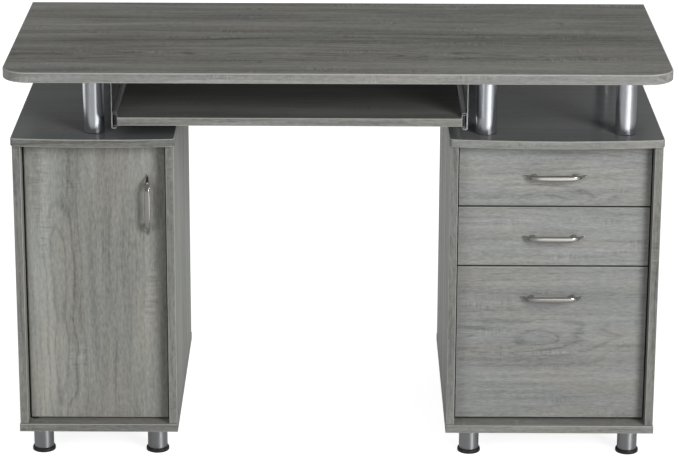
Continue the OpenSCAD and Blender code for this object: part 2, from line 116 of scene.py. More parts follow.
class Shader:
    """One node material. Its methods add nodes: colour, roughness and bump finish the surface, and
    the others return a value's socket, or the node itself from node()."""

    def __init__(self, name, **constants):
        self.material = bpy.data.materials.new(name)
        self.material.use_nodes = True
        self.tree = self.material.node_tree
        self.surface = self.tree.nodes["Principled BSDF"]
        for key, value in constants.items():
            self.surface.inputs[key.replace("_", " ")].default_value = value
        self.place = self.node("TexCoord", {}).outputs["Object"]

    def node(self, kind, inputs, **settings):
        made = self.tree.nodes.new("ShaderNode" + kind)
        for name, value in settings.items():
            setattr(made, name, value)
        for key, value in inputs.items():
            if isinstance(value, bpy.types.NodeSocket):
                self.tree.links.new(value, made.inputs[key])
            else:
                made.inputs[key].default_value = value
        return made

    def math(self, operation, first, second=0.0):
        return self.node("Math", {0: first, 1: second}, operation=operation).outputs[0]

    def times(self, first, second):
        return self.math("MULTIPLY", first, second)

    def sum(self, *values):
        total = values[0]
        for value in values[1:]:
            total = self.math("ADD", total, value)
        return total

    def noise(self, scale, detail=2.0, shift=0.0, place=None):
        """Noise from about 0.3 to 0.7, squeezed by scale along each axis and moved by shift."""
        start = (shift, 1.7 * shift, 2.3 * shift)
        mapping = {"Vector": place or self.place, "Location": start, "Scale": scale}
        vector = self.node("Mapping", mapping).outputs[0]
        inputs = {"Vector": vector, "Scale": 1.0, "Detail": detail, "Roughness": 0.55}
        return self.node("TexNoise", inputs).outputs["Fac"]

    def centred(self, value, amount):
        """The noise turned to swing around zero, times amount."""
        return self.times(self.math("SUBTRACT", value, 0.5), amount)

    def between(self, value, low, high):
        """0 at low, 1 at high, smooth between them and level beyond. Low may be the larger one."""
        inputs = {"Value": value, "From Min": low, "From Max": high}
        return self.node("MapRange", inputs, interpolation_type="SMOOTHSTEP").outputs[0]

    def colour(self, base, brightness, warmth=None):
        """The base colour times brightness, shifted from cool to warm where warmth is given."""
        tinted = base
        if warmth is not None:
            cool = toned(base, (0.985, 1.0, 1.008)) + (1,)
            warm = toned(base, (1.02, 1.0, 0.98)) + (1,)
            tinted = self.node("Mix", {0: warmth, 6: cool, 7: warm}, data_type="RGBA").outputs[2]
        scaled = self.node("VectorMath", {0: tinted, "Scale": brightness}, operation="SCALE")
        self.tree.links.new(scaled.outputs[0], self.surface.inputs["Base Color"])

    def roughness(self, value):
        self.tree.links.new(value, self.surface.inputs["Roughness"])

    def bump(self, height, depth):
        """Relief whose height of 1 stands for depth in metres."""
        inputs = {"Height": height, "Distance": depth, "Strength": 1.0}
        self.tree.links.new(self.node("Bump", inputs).outputs[0], self.surface.inputs["Normal"])


# ---------------------------------------------------------------- materials


def grain_place(shader, along):
    """Object coordinates turned so that their X runs along the grain, bent by slow waves."""
    split = shader.node("SeparateXYZ", {0: shader.place}).outputs
    x, y, z = {"X": (0, 1, 2), "Y": (1, 0, 2), "Z": (2, 0, 1)}[along]
    across = shader.math("ADD", split[y], split[z])
    turned = shader.node("CombineXYZ", {0: split[x], 1: across, 2: split[z]}).outputs[0]
    wave = shader.centred(shader.noise((2.6, 7, 7), 1.0, 3.1, turned), 0.03)
    bent = shader.math("ADD", across, wave)
    return shader.node("CombineXYZ", {0: split[x], 1: bent, 2: split[z]}).outputs[0]


def ring_lines(shader, place, heart, seed):
    """Growth rings cut lengthwise: nested arches at the heart, straight lines beside it.
    The heart is its place along and across the grain, and the slopes at which the arches close
    after it and before it."""
    along, across, after, before = heart
    period = 0.0125
    split = shader.node("SeparateXYZ", {0: place}).outputs
    past = shader.math("SUBTRACT", split[0], along)
    rise = shader.math("MAXIMUM", shader.times(past, after), shader.times(past, -before))
    wobble = shader.centred(shader.noise((3.2, 6, 6), 2.0, seed, place), 0.14)
    depth = shader.math("POWER", shader.math("ADD", rise, wobble), 2.0)
    side = shader.math("POWER", shader.math("SUBTRACT", split[1], across), 2.0)
    distance = shader.math("SQRT", shader.math("ADD", depth, side))
    jitter = shader.centred(shader.noise((20, 90, 90), 2.0, seed + 1, place), 0.005)
    drift = shader.centred(shader.noise((4, 16, 16), 2.0, seed + 3, place), 0.03)
    phase = shader.times(shader.sum(distance, jitter, drift), 2 * math.pi / period)
    wave = shader.math("ADD", shader.times(shader.math("SINE", phase), 0.5), 0.5)
    patches = shader.between(shader.noise((2.4, 9, 9), 2.0, seed + 2, place), 0.4, 0.6)
    near = shader.between(distance, 0.055, 0.02)
    off_centre = shader.between(distance, 0.004, 0.013)
    arches = shader.times(shader.times(near, off_centre), 0.7)
    strength = shader.math("ADD", shader.times(patches, 0.6), arches)
    return shader.times(shader.math("POWER", wave, 5.0), strength)


def sawn_oak(name, along, seed, base, contrast=1.0, heart=FAR_HEART, rings=0.3, bands=1.2, rough=0.52):
    """Grey sawn-oak print: rings, streaks, short dashes, saw marks across the grain, faint hues.
    Rings and bands are how strongly these two show, next to the rest of the pattern."""
    shader = Shader(name, Specular_IOR_Level=0.25)
    place = grain_place(shader, along)
    lines = ring_lines(shader, place, heart, seed)
    stripes = shader.noise((1.1, 15, 15), 3.0, seed + 5, place)
    streaks = shader.noise((4.5, 75, 75), 3.0, seed + 8, place)
    dashes = shader.noise((90, 240, 240), 2.0, seed + 9, place)
    fibres = shader.noise((28, 1100, 1100), 2.0, seed + 10, place)
    ticks = shader.centred(shader.noise((230, 26, 26), 1.0, seed + 4, place), 1.0)
    sawn = shader.between(shader.noise((9, 26, 26), 2.0, seed + 7, place), 0.56, 0.68)
    marks = shader.times(ticks, sawn)
    grain = shader.sum(
        shader.times(lines, -rings * contrast),
        shader.centred(stripes, bands * contrast),
        shader.centred(streaks, 0.7 * contrast),
        shader.centred(dashes, 0.75 * contrast),
        shader.centred(fibres, 0.6 * contrast),
        shader.times(marks, 0.8 * contrast),
    )
    warmth = shader.between(shader.noise((4, 13, 13), 2.0, seed + 6, place), 0.35, 0.65)
    shader.colour(base, shader.math("ADD", grain, 1.06), warmth)
    shader.roughness(shader.math("ADD", shader.centred(dashes, 0.4 * rough), rough))
    relief = shader.sum(fibres, dashes, shader.times(lines, -0.6), marks)
    shader.bump(relief, 0.0004 * rough ** 2)
    return shader.material


def worn_rim_and_highlight(name, base, brightness):
    """Rounded rim of an edge band, rubbed lighter in places, and lifted as a whole by brightness, which
    paints the rim's highlight.
    """
    shader = Shader(name, Specular_IOR_Level=0.5)
    scuffs = shader.between(shader.noise((60, 60, 60), 4.0, 11.0), 0.42, 0.7)
    nicks = shader.noise((300, 300, 300), 2.0, 4.0)
    lift = shader.sum(shader.times(scuffs, 0.14), shader.centred(nicks, 0.15))
    shader.colour(base, shader.math("ADD", lift, brightness))
    shader.roughness(shader.math("ADD", shader.centred(nicks, 0.2), 0.4))
    shader.bump(nicks, 0.00008)
    return shader.material


def hardboard():
    """Painted hardboard: matte, faintly mottled, with a fine felt of fibres."""
    shader = Shader("Hardboard", Specular_IOR_Level=0.3)
    mottle = shader.noise((14, 14, 14), 4.0)
    felt = shader.noise((700, 700, 240), 3.0)
    brightness = shader.sum(shader.centred(mottle, 0.3), shader.centred(felt, 0.5), 1.0)
    shader.colour((0.21, 0.195, 0.17), brightness)
    shader.roughness(shader.math("ADD", shader.centred(felt, 0.2), 0.72))
    shader.bump(felt, 0.0002)
    return shader.material


def metal(name, tint, rough, scratch_scale, scratch, relief, brushed=0.0):
    """Bare or plated metal with fine marks, squeezed by scratch_scale along each axis.
    Brushed stretches its highlights along the axis of an upright tube."""
    shader = Shader(name, Metallic=1.0, Anisotropic=brushed, Anisotropic_Rotation=0.25)
    marks = shader.noise(scratch_scale, 3.0)
    haze = shader.noise((22, 22, 22), 3.0, 7.0)
    shader.colour(tint, shader.sum(shader.centred(marks, scratch), shader.centred(haze, 0.1), 1.0))
    swing = shader.sum(shader.centred(marks, 0.3 * rough), shader.centred(haze, 0.6 * rough))
    shader.roughness(shader.math("ADD", swing, rough))
    shader.bump(marks, relief)
    return shader.material


def black_plastic():
    """Moulded black plastic with a fine spark-eroded texture."""
    shader = Shader("Black plastic", Specular_IOR_Level=0.45)
    pits = shader.noise((1300, 1300, 1300), 2.0)
    dust = shader.between(shader.noise((90, 90, 90), 5.0, 2.0), 0.52, 0.75)
    shader.colour((0.013, 0.013, 0.014), shader.math("ADD", shader.times(dust, 1.5), 1.0))
    shader.roughness(shader.sum(shader.centred(pits, 0.3), shader.times(dust, 0.2), 0.42))
    shader.bump(pits, 0.0001)
    return shader.material


def edge_set(name, seed, base, contrast=1.0):
    """Edge bands with grain along X, along Y and along Z."""
    return [sawn_oak(f"{name} {axis}", axis, seed + i, base, contrast) for i, axis in enumerate("XYZ")]


HARDBOARD = hardboard()
CHROME = metal("Chrome", (0.6, 0.62, 0.65), 0.24, (500, 500, 9), 0.06, 0.0)
SATIN_TUBE = metal("Satin tube", (0.47, 0.478, 0.488), 0.46, (14, 14, 1400), 0.12, 0.000001, 0.65)
NICKEL = metal("Satin nickel", (0.46, 0.45, 0.42), 0.22, (14, 900, 900), 0.08, 0.0)
ZINC = metal("Zinc plate", (0.5, 0.51, 0.52), 0.33, (160, 12, 160), 0.15, 0.000004)
STEEL = metal("Bright steel", (0.62, 0.62, 0.62), 0.28, (260, 260, 260), 0.15, 0.000008)
BLACK = black_plastic()
EDGES = edge_set("Edge band", 40.0, EDGE_BAND, 1.2)
PAINTED_LIGHT_TOP_EDGES = edge_set("Top edge painted light", 45.0, PAINTED_LIGHT_TOP_BAND, 0.95)
# Edge bands of the fronts, dark as painted shade in the gaps.
PAINTED_SHADE_FRONT_EDGES = edge_set("Front edge painted shade", 48.0, PAINTED_SHADE_FRONT_BAND)
FOIL_EDGES = edge_set("Foil edge", 50.0, DRAWER_FOIL, 0.6)
# Rims of the laminate boards at 1.5 times the laminate: a painted highlight along every rounded edge,
# besides the rubbed wear.
LAMINATE_RIM_WEAR_AND_HIGHLIGHT = worn_rim_and_highlight("Edge band rim wear and painted highlight", LAMINATE, 1.5)
FOIL_RIM = worn_rim_and_highlight("Foil rim", DRAWER_FOIL, 1.04)


def laminate_set(name, along, seed, tint=(1, 1, 1), edges=EDGES, **pattern):
    """Materials of a laminated board: its faces, its edge bands and their rims. The tint tones the faces
    lighter or darker, which paints how much light falls on that board. The pattern goes to sawn_oak:
    contrast, heart, rings, bands and rough."""
    face = sawn_oak(name, along, seed, toned(LAMINATE, tint), **pattern)
    return [face, *edges, LAMINATE_RIM_WEAR_AND_HIGHLIGHT]


def foil_set(name, along, seed):
    """Materials of a foil-wrapped drawer board."""
    face = sawn_oak(name, along, seed, DRAWER_FOIL, 0.7)
    return [face, *FOIL_EDGES, FOIL_RIM]


# ---------------------------------------------------------------- mesh building


def add_piece(name, bm, materials, slot, *nodes):
    """Makes a piece of a bmesh. It rides with the CAD nodes that it stands for."""
    bmesh.ops.recalc_face_normals(bm, faces=bm.faces)
    mesh = bpy.data.meshes.new(name)
    bm.to_mesh(mesh)
    bm.free()
    for material in materials:
        mesh.materials.append(material)
    crease = math.radians(40)
    mesh.shade_smooth()
    mesh.set_sharp_from_angle(angle=crease)
    made = bpy.data.objects.new(name, mesh)
    bpy.context.scene.collection.objects.link(made)
    made.modifiers.new("Even normals", "WEIGHTED_NORMAL").keep_sharp = True
    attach(made, frame["nodes"][nodes[0]]["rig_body"])
    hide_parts(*nodes)
    return made


def in_plane(u, v, w, thin):
    """The point at u and v across the thin axis and w along it."""
    return {"X": (w, u, v), "Y": (u, w, v), "Z": (u, v, w)}[thin]


def prism(outline, low, high, thin="Z", rim=0.001, segments=3):
    """Board with that outline, from low to high along its thin axis, with rounded rims."""
    bm = bmesh.new()
    lower = [bm.verts.new(in_plane(u, v, low, thin)) for u, v in outline]
    upper = [bm.verts.new(in_plane(u, v, high, thin)) for u, v in outline]
    bm.faces.new(lower)
    bm.faces.new(upper)
    for i, corner in enumerate(lower):
        bm.faces.new((corner, lower[i - 1], upper[i - 1], upper[i]))
    bmesh.ops.recalc_face_normals(bm, faces=bm.faces)
    crease = math.radians(30)
    sharp = [e for e in bm.edges if e.calc_face_angle() > crease]
    bmesh.ops.bevel(bm, geom=sharp, offset=rim, segments=segments, profile=0.5, affect="EDGES")
    return bm


def paint_board(bm, thin):
    """Gives each face of a board the index of its face, edge band or rim material."""
    on_face, off_edge = 0.99, 0.05
    bm.normal_update()
    across = "XYZ".index(thin)
    for face in bm.faces:
        normal = [abs(c) for c in face.normal]
        if normal[across] > on_face:
            face.material_index = FACE
        elif normal[across] > off_edge:
            face.material_index = RIM
        else:
            facing = max((c, i) for i, c in enumerate(normal) if i != across)[1]
            along = 3 - across - facing
            face.material_index = FIRST_EDGE + along


def rectangle(low, high, thin):
    """The corners of a box seen along its thin axis."""
    u, v = [i for i, axis in enumerate("XYZ") if axis != thin]
    return [(low[u], low[v]), (high[u], low[v]), (high[u], high[v]), (low[u], high[v])]


def add_board(node, materials, slot, rim=0.001, thin=None, outline=None):
    """A board in a CAD node's box, with another outline than the box where that is given."""
    low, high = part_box(node)
    size = high - low
    thin = thin or "XYZ"[min(range(3), key=lambda i: size[i])]
    across = "XYZ".index(thin)
    bm = prism(outline or rectangle(low, high, thin), low[across], high[across], thin, rim)
    paint_board(bm, thin)
    return add_piece("visible_" + node, bm, materials, slot, node)


def arc(centre, radius, start, end, steps):
    """Points on an arc between two angles in degrees."""
    angles = [math.radians(start + (end - start) * i / steps) for i in range(steps + 1)]
    return [(centre[0] + radius * math.cos(a), centre[1] + radius * math.sin(a)) for a in angles]


def lathe(profile, centre, segments=48, axis="Z"):
    """A closed profile of (radius, height) points turned round a line along axis through centre."""
    bm = bmesh.new()
    rings = []
    for k in range(segments):
        angle = 2 * math.pi * k / segments
        rings.append([bm.verts.new((r * math.cos(angle), r * math.sin(angle), h)) for r, h in profile])
    for k, ring in enumerate(rings):
        before = rings[k - 1]
        for i in range(len(profile)):
            bm.faces.new((before[i - 1], before[i], ring[i], ring[i - 1]))
    bmesh.ops.remove_doubles(bm, verts=bm.verts, dist=1e-6)
    bmesh.ops.transform(bm, matrix=Matrix.Translation(centre) @ TURNS[axis], verts=bm.verts)
    return bm


# ---------------------------------------------------------------- boards


def add_desktop():
    """Desk top: round front corners and a soft rim."""
    low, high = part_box("desktop")
    radius, rim = 0.05, 0.0022
    outline = [(low.x, high.y)]
    outline += arc((low.x + radius, low.y + radius), radius, 180, 270, 20)
    outline += arc((high.x - radius, low.y + radius), radius, 270, 360, 20)
    outline += [(high.x, high.y)]
    pattern = {"contrast": 1.6, "heart": (-0.2, 0.62, 0.075, 0.075), "rings": 0.2, "bands": 1.0}
    # The top's faces are toned 0.88 times the laminate: painted shade, as the top gets less light than the
    # fronts.
    laminate = laminate_set("Top laminate", "X", 1.3, (0.88, 0.88, 0.86), PAINTED_LIGHT_TOP_EDGES, **pattern)
    add_board("desktop", laminate, "laminate", rim, "Z", outline)


def add_cap(node, seed):
    """Cap board over a pedestal: a bowed front edge with small round corners."""
    low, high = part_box(node)
    bow, corner, rim = 1.5, 0.009, 0.0016
    middle = (low.x + high.x) / 2
    reach = high.x - middle - corner
    centre_y = low.y + bow
    corner_y = centre_y - math.sqrt((bow - corner) ** 2 - reach ** 2)
    swing = math.degrees(math.asin(reach / (bow - corner)))
    outline = [(low.x, high.y)]
    outline += arc((middle - reach, corner_y), corner, 180, 270 - swing, 8)
    outline += arc((middle, centre_y), bow, 270 - swing, 270 + swing, 40)[1:-1]
    outline += arc((middle + reach, corner_y), corner, 270 + swing, 360, 8)
    outline += [(high.x, high.y)]
    name = node.title() + " laminate"
    # The caps' faces are toned darker and bluer than the laminate: painted shade under the desk top.
    laminate = laminate_set(name, "X", seed, (0.67, 0.69, 0.75), contrast=0.4, rough=0.2)
    add_board(node, laminate, "laminate", rim, "Z", outline)


def add_door():
    """Door with a rounded hinge edge, so that it turns inside its opening."""
    low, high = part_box("door")
    radius, corner, rim = 0.004, 0.001, 0.0009
    outline = arc((low.x + radius, high.y - radius), radius, 90, 180, 6)
    outline += arc((low.x + radius, low.y + radius), radius, 180, 270, 6)
    outline += arc((high.x - corner, low.y + corner), corner, 270, 360, 3)
    outline += arc((high.x - corner, high.y - corner), corner, 0, 90, 3)
    bm = prism(outline, low.z, high.z, "Z", rim)
    paint_board(bm, "Y")
    heart = (0.27, -0.715, 0.11, 0.11)
    # The door's faces are toned 1.18 times the laminate: painted light from the front lamps.
    laminate = laminate_set("Door laminate", "Z", 8.2, (1.18, 1.18, 1.16), PAINTED_SHADE_FRONT_EDGES, heart=heart)
    add_piece("visible_door", bm, laminate, "laminate", "door")


def add_pedestals():
    """Side, base, shelf and back boards of the two pedestals."""
    sides = ("cabinet_left_side", "cabinet_right_side", "unit_left_side", "unit_right_side")
    # The side boards' faces are toned about 1.2 times the laminate: painted light on them.
    for i, node in enumerate(sides):
        laminate = laminate_set(node + " laminate", "Z", 12.4 + 3 * i, (1.2, 1.22, 1.18), contrast=1.3)
        add_board(node, laminate, "laminate")
    for i, node in enumerate(("cabinet_base", "unit_base")):
        add_board(node, laminate_set(node + " laminate", "X", 26.1 + 3 * i), "laminate", BASE_RIM)
    add_board("cabinet_shelf", laminate_set("Shelf laminate", "X", 33.7), "laminate")
    for node in ("cabinet_back", "unit_back"):
        add_board(node, [HARDBOARD] * 5, "hardboard", THIN_RIM)


def add_drawer(drawer, seed, heart, tint):
    """Front and box of one drawer."""
    pattern = {"heart": heart, "rings": 0.2, "bands": 0.7}
    laminate = laminate_set(drawer + " laminate", "X", seed, tint, PAINTED_SHADE_FRONT_EDGES, **pattern)
    add_board(drawer + "_front", laminate, "laminate")
    foil = foil_set(drawer + " foil", "Y", seed + 1)
    for side in ("_left_side", "_right_side"):
        add_board(drawer + side, foil, "drawer_board")
    add_board(drawer + "_rear", foil_set(drawer + " rear foil", "X", seed + 2), "drawer_board")
    add_board(drawer + "_bottom", [HARDBOARD] * 5, "hardboard", THIN_RIM)


# ---------------------------------------------------------------- tubes and turned parts


def tube(centre, radius, wall, low, high):
    """Open upright tube whose cut ends have a small chamfer."""
    inner, cut = radius - wall, 0.0004
    profile = [
        (inner, low), (radius - cut, low), (radius, low + cut), (radius, high - cut),
        (radius - cut, high), (inner, high),
    ]
    return lathe(profile, centre, 72)


def add_posts():
    """Chrome posts between the caps and the desk top, with thin black rings at their ends that paint the
    dark contact shadow where each post meets a board.
    """
    shade_ring_t, shade_ring_wall, proud = 0.001, 0.004, 0.0003
    for node in [n for n in frame["nodes"] if n.endswith("_post")]:
        low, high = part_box(node)
        centre = Vector(((low.x + high.x) / 2, (low.y + high.y) / 2, 0))
        radius = (high.x - low.x) / 2
        post = tube(centre, radius, TUBE_WALL, low.z, high.z)
        add_piece("visible_" + node, post, [CHROME], "chrome_tube", node)
        # Thin black rings at both ends of the post: painted shade of the contact shadow.
        for name, z in (("lower", low.z), ("upper", high.z - shade_ring_t)):
            ring = tube(centre, radius + proud, shade_ring_wall, z, z + shade_ring_t)
            add_piece(f"{name}_shade_ring_{node}", ring, [BLACK], "black_plastic", node)


def foot_places():
    """Foot centres: the outer ones from the feet's box, the inner ones from the base boards."""
    low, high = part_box("feet")
    cabinet_inset, unit_inset = 0.0415, 0.0465
    inner = (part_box("cabinet_base")[1].x - cabinet_inset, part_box("unit_base")[0].x + unit_inset)
    xs = (low.x + FOOT_RADIUS, *inner, high.x - FOOT_RADIUS)
    return [Vector((x, y, 0)) for x in xs for y in (low.y + FOOT_RADIUS, high.y - FOOT_RADIUS)]


def foot_tube_profile(low, high):
    """Half section of a foot's tube, closed at its top."""
    radius, bore, cut = FOOT_RADIUS, FOOT_RADIUS - TUBE_WALL, 0.0005
    return [
        (bore, low), (radius, low), (radius, high - cut), (radius - cut, high),
        (0, high), (0, high - TUBE_WALL), (bore, high - TUBE_WALL),
    ]


def foot_glide_profile():
    """Half section of a glide: a flared cup around the tube, with a plug inside it."""
    radius, bore = FOOT_RADIUS, FOOT_RADIUS - TUBE_WALL
    rim, edge, hug, plug_top = radius + 0.003, 0.0015, 0.00005, 0.016
    cup = [(0, 0.0012), (rim - 0.006, 0.0012), (rim - 3 * edge, 0), (rim - edge, 0)]
    cup += arc((rim - edge, edge), edge, 270, 360, 4)[1:]
    cup += [(rim, 0.0048), (rim - 0.0003, 0.0062), (rim - 0.0011, 0.0073), (radius + 0.0008, 0.008)]
    cup += [(radius + hug, 0.0078), (radius + hug, 0.005), (bore, 0.005), (bore, plug_top), (0, plug_top)]
    return cup


def add_feet():
    """Satin tubes on flared black glides."""
    low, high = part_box("feet")
    for i, centre in enumerate(foot_places()):
        shell = lathe(foot_tube_profile(low.z, high.z), centre, 72)
        add_piece(f"foot_tube_{i + 1}", shell, [SATIN_TUBE], "satin_tube", "feet")
        cup = lathe(foot_glide_profile(), centre, 72)
        add_piece(f"foot_glide_{i + 1}", cup, [BLACK], "black_plastic", "foot_glides")


def in_recess(share, angle, recess):
    """Whether a point of a screw head, at a share of its radius, lies in the driver recess."""
    if recess == "cross":
        x, y = abs(share * math.cos(angle)), abs(share * math.sin(angle))
        return min(x, y) < 0.13 and max(x, y) < 0.6
    return max(abs(share * math.cos(angle + k * math.pi / 3)) for k in range(3)) < 0.48


def screw_head(centre, radius, height, axis, recess="cross", crown=0.35):
    """Round head on a plane through centre, with a driver recess pressed into its crown."""
    segments, rings = 48, 12
    depth = 0.6 * height
    bm = bmesh.new()

    def top(r, angle):
        rise = height * (1 - crown * (r / radius) ** 2)
        return rise - depth if in_recess(r / radius, angle, recess) else rise

    grid = []
    for i in range(1, rings + 1):
        r = radius * i / rings
        angles = [2 * math.pi * k / segments for k in range(segments)]
        grid.append([bm.verts.new((r * math.cos(a), r * math.sin(a), top(r, a))) for a in angles])
    middle = bm.verts.new((0, 0, top(0, 0)))
    foot = [bm.verts.new((v.co.x, v.co.y, 0)) for v in grid[-1]]
    for k in range(segments):
        bm.faces.new((middle, grid[0][k - 1], grid[0][k]))
        for inner, outer in zip(grid, grid[1:] + [foot]):
            bm.faces.new((inner[k - 1], outer[k - 1], outer[k], inner[k]))
    bm.faces.new(foot)
    bmesh.ops.transform(bm, matrix=Matrix.Translation(centre) @ TURNS[axis], verts=bm.verts)
    return bm


def add_post_bolts():
    """Heads of the long bolts, under the cap boards."""
    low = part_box("post_bolts")[0]
    head_r, head_h = 0.006, 0.0024
    for node in [n for n in frame["nodes"] if n.endswith("_post")]:
        corner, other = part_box(node)
        centre = Vector(((corner.x + other.x) / 2, (corner.y + other.y) / 2, low.z + head_h))
        bm = screw_head(centre, head_r, head_h, "-Z", "hex", 0.2)
        add_piece("bolt_head_" + node, bm, [STEEL], "steel_hardware", "post_bolts")


# ---------------------------------------------------------------- handles


def smooth_step(value):
    value = min(1, max(0, value))
    return value * value * (3 - 2 * value)


def squared(value):
    """A circle's sine or cosine, pushed out to a square with round corners."""
    return math.copysign(abs(value) ** 0.6, value)


def handle_station(u, sides):
    """Section of the bow handle at u from -1 to 1: (along, out, across) points around it.
    The bow stands off at its crest, comes down to its tips, and has a foot over each screw."""
    crest, tip, foot_half, fillet = 0.019, 0.0022, 0.003, 0.0016
    half_width = 0.0004 + 0.0049 * (1 - abs(u) ** 2.6) ** 0.8
    half_thick = 0.0011 + 0.0015 * (1 - u * u)
    bow = 0.5 + 0.5 * math.cos(math.pi * min(1, abs(u) / 0.95) ** 4.5)
    out = tip + (crest - tip) * bow
    off_foot = abs(abs(u) * HANDLE_LENGTH - HANDLE_SCREW_GAP) / 2
    foot = 1 - smooth_step((off_foot - foot_half) / fillet)
    points = []
    for k in range(sides):
        angle = 2 * math.pi * k / sides
        reach = out + half_thick * squared(math.cos(angle))
        if math.cos(angle) < -0.5:
            reach *= 1 - foot
        points.append((u * HANDLE_LENGTH / 2, reach, half_width * squared(math.sin(angle))))
    return points


def handle_bow(centre, along):
    """Bow of a handle on the face at centre; along is X on the drawers and Z on the door."""
    sides, steps = 32, 150
    bm = bmesh.new()
    rings = []
    for i in range(steps + 1):
        spots = handle_station(-math.cos(math.pi * i / steps), sides)
        if along == "X":
            rings.append([bm.verts.new(centre + Vector((a, -o, c))) for a, o, c in spots])
        else:
            rings.append([bm.verts.new(centre + Vector((c, -o, a))) for a, o, c in spots])
    for first, second in zip(rings, rings[1:]):
        for k in range(sides):
            bm.faces.new((first[k - 1], first[k], second[k], second[k - 1]))
    bm.faces.new(rings[0])
    bm.faces.new(rings[-1])
    return bm


def add_handle(node, along):
    """Handle bow and the heads of its two screws behind the front."""
    low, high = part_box(node)
    board_low, board_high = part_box(node.replace("_handle", "_front") if along == "X" else "door")
    head_r, head_h = 0.004, 0.0022
    middle = (low + high) / 2
    centre = Vector((middle.x, board_low.y, middle.z))
    add_piece("visible_" + node, handle_bow(centre, along), [NICKEL], "satin_nickel", node)
    for i, side in enumerate((-1, 1)):
        shift = side * HANDLE_SCREW_GAP / 2
        spot = Vector((middle.x, board_high.y, middle.z))
        spot["XYZ".index(along)] += shift
        head = screw_head(spot, head_r, head_h, "Y")
        add_piece(f"screw_{node}_{i + 1}", head, [STEEL], "steel_hardware", node)


# ---------------------------------------------------------------- formed sheet


def formed_outline(corners, thickness, bend):
    """Outline of a sheet strip along a centre line through the corners, with round right-angle
    bends of that inner radius."""
    spine = []
    radius = bend + thickness / 2
    for before, here, after in zip([None] + corners, corners, corners[1:] + [None]):
        here = Vector(here)
        way_in = (here - Vector(before)).normalized() if before else None
        way_out = (Vector(after) - here).normalized() if after else None
        if way_in is None or way_out is None:
            spine.append((here, way_in or way_out))
            continue
        centre = here + (way_out - way_in) * radius
        for k in range(6):
            c, s = math.cos(math.pi * k / 10), math.sin(math.pi * k / 10)
            spine.append((centre + radius * (way_in * s - way_out * c), way_in * c + way_out * s))
    left = [spot + Vector((-way.y, way.x)) * thickness / 2 for spot, way in spine]
    right = [spot - Vector((-way.y, way.x)) * thickness / 2 for spot, way in spine]
    return left + right[::-1]


def add_brackets():
    """Sheet brackets under the desk top, with their pan-head screws."""
    thickness, lip, bend, rim = 0.0013, 0.008, 0.0012, 0.0003
    half = thickness / 2
    for node, inward in (("left_tray_bracket", 1), ("right_tray_bracket", -1)):
        low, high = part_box(node)
        outer, flange_end = (low.x, high.x) if inward > 0 else (high.x, low.x)
        web = outer + inward * half
        corners = [(flange_end, high.z - half), (web, high.z - half), (web, low.z + half)]
        corners += [(outer + inward * lip, low.z + half)]
        bm = prism(formed_outline(corners, thickness, bend), low.y, high.y, "Y", rim, 2)
        add_piece("visible_" + node, bm, [ZINC], "zinc_sheet", node)
    low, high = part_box("bracket_screws")
    head_r, head_h = 0.004, 0.0022
    flange_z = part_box("left_tray_bracket")[1].z - thickness
    for i, x in enumerate((low.x + head_r, high.x - head_r)):
        for k in range(3):
            y = low.y + head_r + (high.y - low.y - 2 * head_r) * k / 2
            head = screw_head(Vector((x, y, flange_z)), head_r, head_h, "-Z")
            add_piece(f"bracket_screw_{i + 1}_{k + 1}", head, [STEEL], "steel_hardware", "bracket_screws")


def block(low, high, rim, segments=2):
    """Rounded block between two corners."""
    return prism(rectangle(low, high, "Y"), low.y, high.y, "Y", rim, segments)


def roller_profile(radius, width):
    """Half section of a slide's roller, with a countersink round its axle hole."""
    hole, cut, sink = 0.002, 0.0006, 0.0008
    return [
        (hole, 0), (radius - cut, 0), (radius, cut), (radius, width - cut), (radius - cut, width),
        (hole + 2 * cut, width), (hole + cut, width - sink), (hole, width - sink),
    ]


def add_slide(name, rails, channel, wall_x, carrier_x, low, high):
    """One telescopic slide: channel on the wall, rail on the carrier, roller, buffers and screws.
    low and high are the rail's lowest and highest corner in Y and Z."""
    play, lip, rim, channel_bend, rail_bend = 0.0024, 0.0026, 0.0002, 0.0005, 0.0006
    inward = 1 if carrier_x > wall_x else -1
    half = SHEET / 2
    web, mouth = wall_x + inward * half, carrier_x - inward * (SHEET + half)
    bottom, top = low.z - play - half, high.z + play + half
    corners = [(mouth, top - lip), (mouth, top), (web, top)]
    corners += [(web, bottom), (mouth, bottom), (mouth, bottom + lip)]
    bm = prism(formed_outline(corners, SHEET, channel_bend), low.y, high.y, "Y", rim, 1)
    add_piece("slide_channel_" + name, bm, [ZINC], "zinc_sheet", channel)
    free, rail_web = wall_x + inward * (SHEET + play / 2), carrier_x - inward * half
    bottom, top = low.z + half, high.z - half
    corners = [(free, top), (rail_web, top), (rail_web, bottom), (free, bottom)]
    bm = prism(formed_outline(corners, SHEET, rail_bend), low.y, high.y, "Y", rim, 1)
    add_piece("slide_rail_" + name, bm, [ZINC], "zinc_sheet", rails)
    add_slide_fittings(name, rails, channel, inward, wall_x, carrier_x, low, high)


